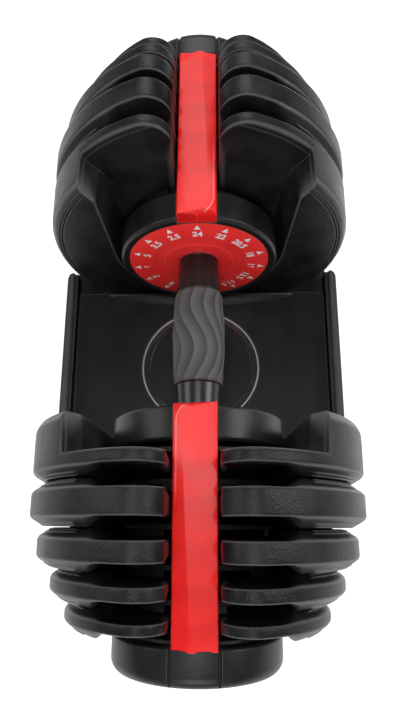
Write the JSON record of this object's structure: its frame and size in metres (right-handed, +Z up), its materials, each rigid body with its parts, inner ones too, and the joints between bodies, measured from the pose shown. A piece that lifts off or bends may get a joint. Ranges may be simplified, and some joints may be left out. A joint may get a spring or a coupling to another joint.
{
  "type": "adjustable dumbbell",
  "caption": "Adjustable dumbbell in its tray: grip between two number dials, stacks of slotted round plates, red bridge covers, end knobs.",
  "frame": {"origin": "on the surface that the tray stands on, under the middle of the grip", "axes": "+Y along the handle towards the far end, +X to the right across the tray, +Z up"},
  "size_m": [0.212, 0.3986, 0.2171],
  "materials": {
    "tray_plastic": "fine-grained black moulded plastic",
    "foot_rubber": "matte black rubber",
    "tube_steel": "turned steel",
    "grip_rubber": "dark grey moulded rubber with raised waves",
    "collar_plastic": "glossy black",
    "shaft_steel": "turned steel",
    "housing_plastic": "satin black moulded plastic",
    "bridge_plastic": "semi-gloss red plastic with flat facets",
    "frame_steel": "dark coated steel",
    "number_plastic": "satin red with white numbers",
    "disc_plastic": "black glass-filled plastic",
    "knob_plastic": "satin black moulded plastic",
    "plate_plastic": "fine-grained black moulded plastic",
    "core_steel": "black painted steel"
  },
  "bodies": {
    "tray": {"base_tray": "tray_plastic", "rubber_feet": "foot_rubber"},
    "handle": {"handle_tube": "tube_steel", "grip_sleeve": "grip_rubber", "grip_collar_far": "collar_plastic", "grip_collar_near": "collar_plastic", "center_rod": "shaft_steel", "rod_nuts": "shaft_steel", "rod_washers": "shaft_steel", "bridge_pins": "shaft_steel", "dial_housing_far": "housing_plastic", "bridge_cover_far": "bridge_plastic", "bridge_frame_far": "frame_steel", "dial_housing_near": "housing_plastic", "bridge_cover_near": "bridge_plastic", "bridge_frame_near": "frame_steel"},
    "dial_far": {"number_disc_far": "number_plastic", "lock_wheel_far": "disc_plastic", "disc_sleeve_far": "shaft_steel", "selector_disc_1_far": "disc_plastic", "selector_disc_2_far": "disc_plastic", "selector_disc_3_far": "disc_plastic", "selector_disc_4_far": "disc_plastic", "selector_disc_5_far": "disc_plastic", "end_knob_far": "knob_plastic", "knob_cap_far": "knob_plastic"},
    "lock_pin_far": {"lock_pin_far": "shaft_steel", "lock_spring_far": "shaft_steel"},
    "plate_1_far": {"plate_1_cover_far": "plate_plastic", "plate_1_core_far": "core_steel"},
    "plate_2_far": {"plate_2_cover_far": "plate_plastic", "plate_2_core_far": "core_steel"},
    "plate_3_far": {"plate_3_cover_far": "plate_plastic", "plate_3_core_far": "core_steel"},
    "plate_4_far": {"plate_4_cover_far": "plate_plastic", "plate_4_core_far": "core_steel"},
    "plate_5_far": {"plate_5_cover_far": "plate_plastic", "plate_5_core_far": "core_steel"},
    "dial_near": {"number_disc_near": "number_plastic", "lock_wheel_near": "disc_plastic", "disc_sleeve_near": "shaft_steel", "selector_disc_1_near": "disc_plastic", "selector_disc_2_near": "disc_plastic", "selector_disc_3_near": "disc_plastic", "selector_disc_4_near": "disc_plastic", "selector_disc_5_near": "disc_plastic", "end_knob_near": "knob_plastic", "knob_cap_near": "knob_plastic"},
    "lock_pin_near": {"lock_pin_near": "shaft_steel", "lock_spring_near": "shaft_steel"},
    "plate_1_near": {"plate_1_cover_near": "plate_plastic", "plate_1_core_near": "core_steel"},
    "plate_2_near": {"plate_2_cover_near": "plate_plastic", "plate_2_core_near": "core_steel"},
    "plate_3_near": {"plate_3_cover_near": "plate_plastic", "plate_3_core_near": "core_steel"},
    "plate_4_near": {"plate_4_cover_near": "plate_plastic", "plate_4_core_near": "core_steel"},
    "plate_5_near": {"plate_5_cover_near": "plate_plastic", "plate_5_core_near": "core_steel"}
  },
  "joints": [
    {"name": "lift_out", "type": "slide", "parent": "tray", "child": "handle", "axis": [0, 0, 1], "range_m": [0, 0.15]},
    {"name": "dial_turn_far", "type": "hinge", "parent": "handle", "child": "dial_far", "pos_m": [0, 0.12, 0.118], "axis": [0, 1, 0], "continuous": true},
    {"name": "lock_pin_drop_far", "type": "slide", "parent": "handle", "child": "lock_pin_far", "axis": [0, 0, 1], "range_m": [-0.003, 0], "deforming": ["lock_spring_far"]},
    {"name": "plate_1_lift_far", "type": "slide", "parent": "tray", "child": "plate_1_far", "axis": [0, 0, 1], "range_m": [0, 0.15]},
    {"name": "plate_2_lift_far", "type": "slide", "parent": "tray", "child": "plate_2_far", "axis": [0, 0, 1], "range_m": [0, 0.15]},
    {"name": "plate_3_lift_far", "type": "slide", "parent": "tray", "child": "plate_3_far", "axis": [0, 0, 1], "range_m": [0, 0.15]},
    {"name": "plate_4_lift_far", "type": "slide", "parent": "tray", "child": "plate_4_far", "axis": [0, 0, 1], "range_m": [0, 0.15]},
    {"name": "plate_5_lift_far", "type": "slide", "parent": "tray", "child": "plate_5_far", "axis": [0, 0, 1], "range_m": [0, 0.15]},
    {"name": "dial_turn_near", "type": "hinge", "parent": "handle", "child": "dial_near", "pos_m": [0, -0.12, 0.118], "axis": [0, -1, 0], "continuous": true},
    {"name": "lock_pin_drop_near", "type": "slide", "parent": "handle", "child": "lock_pin_near", "axis": [0, 0, 1], "range_m": [-0.003, 0], "deforming": ["lock_spring_near"]},
    {"name": "plate_1_lift_near", "type": "slide", "parent": "tray", "child": "plate_1_near", "axis": [0, 0, 1], "range_m": [0, 0.15]},
    {"name": "plate_2_lift_near", "type": "slide", "parent": "tray", "child": "plate_2_near", "axis": [0, 0, 1], "range_m": [0, 0.15]},
    {"name": "plate_3_lift_near", "type": "slide", "parent": "tray", "child": "plate_3_near", "axis": [0, 0, 1], "range_m": [0, 0.15]},
    {"name": "plate_4_lift_near", "type": "slide", "parent": "tray", "child": "plate_4_near", "axis": [0, 0, 1], "range_m": [0, 0.15]},
    {"name": "plate_5_lift_near", "type": "slide", "parent": "tray", "child": "plate_5_near", "axis": [0, 0, 1], "range_m": [0, 0.15]}
  ],
  "couplings": [
    {"joint": "lock_pin_drop_far", "follows": "lift_out", "ratio": -0.02},
    {"joint": "plate_1_lift_far", "follows": "lift_out", "ratio": 1},
    {"joint": "plate_2_lift_far", "follows": "lift_out", "ratio": 1},
    {"joint": "plate_3_lift_far", "follows": "lift_out", "ratio": 1},
    {"joint": "plate_4_lift_far", "follows": "lift_out", "ratio": 1},
    {"joint": "plate_5_lift_far", "follows": "lift_out", "ratio": 1},
    {"joint": "lock_pin_drop_near", "follows": "lift_out", "ratio": -0.02},
    {"joint": "plate_1_lift_near", "follows": "lift_out", "ratio": 1},
    {"joint": "plate_2_lift_near", "follows": "lift_out", "ratio": 1},
    {"joint": "plate_3_lift_near", "follows": "lift_out", "ratio": 1},
    {"joint": "plate_4_lift_near", "follows": "lift_out", "ratio": 1},
    {"joint": "plate_5_lift_near", "follows": "lift_out", "ratio": 1}
  ]
}
